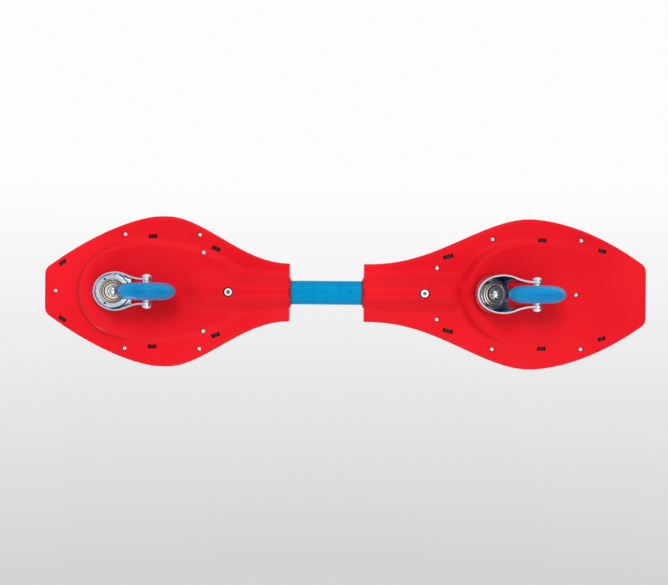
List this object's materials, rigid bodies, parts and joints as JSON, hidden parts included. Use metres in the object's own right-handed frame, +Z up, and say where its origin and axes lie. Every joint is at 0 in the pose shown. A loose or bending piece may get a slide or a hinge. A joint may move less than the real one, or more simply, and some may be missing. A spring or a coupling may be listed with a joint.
{
  "type": "caster board",
  "caption": "Two footboards that twist against each other on a sprung tube, each riding on one inclined, free-swivelling caster wheel.",
  "frame": {"origin": "on the ground under the middle of the board's length and width", "axes": "+X towards the nose, the way the board rolls; +Y to the rider's left facing the nose; +Z up"},
  "size_m": [0.872, 0.2144, 0.1374],
  "materials": {
    "deck": "moulded, soft gloss",
    "tread": "textured grip",
    "screws": "zinc plated",
    "bush": "self-lubricating plastic",
    "anchor": "cast",
    "plated": "bright plated pressed steel",
    "bearing": "ground",
    "core": "moulded",
    "wheel": "cast urethane",
    "tube": "drawn",
    "sleeve": "dimpled grip",
    "seal": "moulded",
    "spring": "oiled spring steel"
  },
  "bodies": {
    "front_deck": {"front_deck_body": "deck", "front_traction_plate": "tread", "front_plate_screws": "screws", "front_neck_bush": "bush", "front_anchor_block": "anchor", "front_neck_bolt": "screws", "front_neck_washer": "screws", "front_seat_plate": "plated", "front_kingpin": "plated", "front_race_cup": "plated", "front_kingpin_washer": "plated", "front_kingpin_nut": "plated", "pivot_tube": "tube", "tube_sleeve": "sleeve", "seal_rings": "seal", "torsion_bar": "spring"},
    "rear_deck": {"rear_deck_body": "deck", "rear_traction_plate": "tread", "rear_plate_screws": "screws", "rear_neck_bush": "bush", "rear_anchor_block": "anchor", "rear_neck_bolt": "screws", "rear_neck_washer": "screws", "rear_seat_plate": "plated", "rear_kingpin": "plated", "rear_race_cup": "plated", "rear_kingpin_washer": "plated", "rear_kingpin_nut": "plated"},
    "front_caster": {"front_fork": "plated", "front_upper_balls": "bearing", "front_lower_balls": "bearing", "front_axle_bolt": "plated", "front_axle_nut": "plated", "front_axle_spacers": "bearing", "front_bearing_inner_rings": "bearing", "front_bearing_spacer": "bearing"},
    "rear_caster": {"rear_fork": "plated", "rear_upper_balls": "bearing", "rear_lower_balls": "bearing", "rear_axle_bolt": "plated", "rear_axle_nut": "plated", "rear_axle_spacers": "bearing", "rear_bearing_inner_rings": "bearing", "rear_bearing_spacer": "bearing"},
    "front_wheel": {"front_bearing_balls": "bearing", "front_bearing_outer_rings": "bearing", "front_bearing_shields": "bearing", "front_wheel_core": "core", "front_tyre": "wheel"},
    "rear_wheel": {"rear_bearing_balls": "bearing", "rear_bearing_outer_rings": "bearing", "rear_bearing_shields": "bearing", "rear_wheel_core": "core", "rear_tyre": "wheel"}
  },
  "joints": [
    {"name": "deck_twist", "type": "hinge", "parent": "front_deck", "child": "rear_deck", "pos_m": [-0.026, 0, 0.09038], "axis": [1, 0, 0], "range_deg": [-30, 30], "stiffness_Nm_per_rad": 20, "deforming": ["torsion_bar"]},
    {"name": "front_swivel", "type": "hinge", "parent": "front_deck", "child": "front_caster", "pos_m": [0.323, 0, 0.06687], "axis": [0.3746, 0, 0.9272], "continuous": true},
    {"name": "rear_swivel", "type": "hinge", "parent": "rear_deck", "child": "rear_caster", "pos_m": [-0.203, 0, 0.06687], "axis": [0.3746, 0, 0.9272], "continuous": true},
    {"name": "front_wheel_spin", "type": "hinge", "parent": "front_caster", "child": "front_wheel", "pos_m": [0.269, 0, 0.038], "axis": [0, 1, 0], "continuous": true},
    {"name": "rear_wheel_spin", "type": "hinge", "parent": "rear_caster", "child": "rear_wheel", "pos_m": [-0.257, 0, 0.038], "axis": [0, 1, 0], "continuous": true}
  ]
}
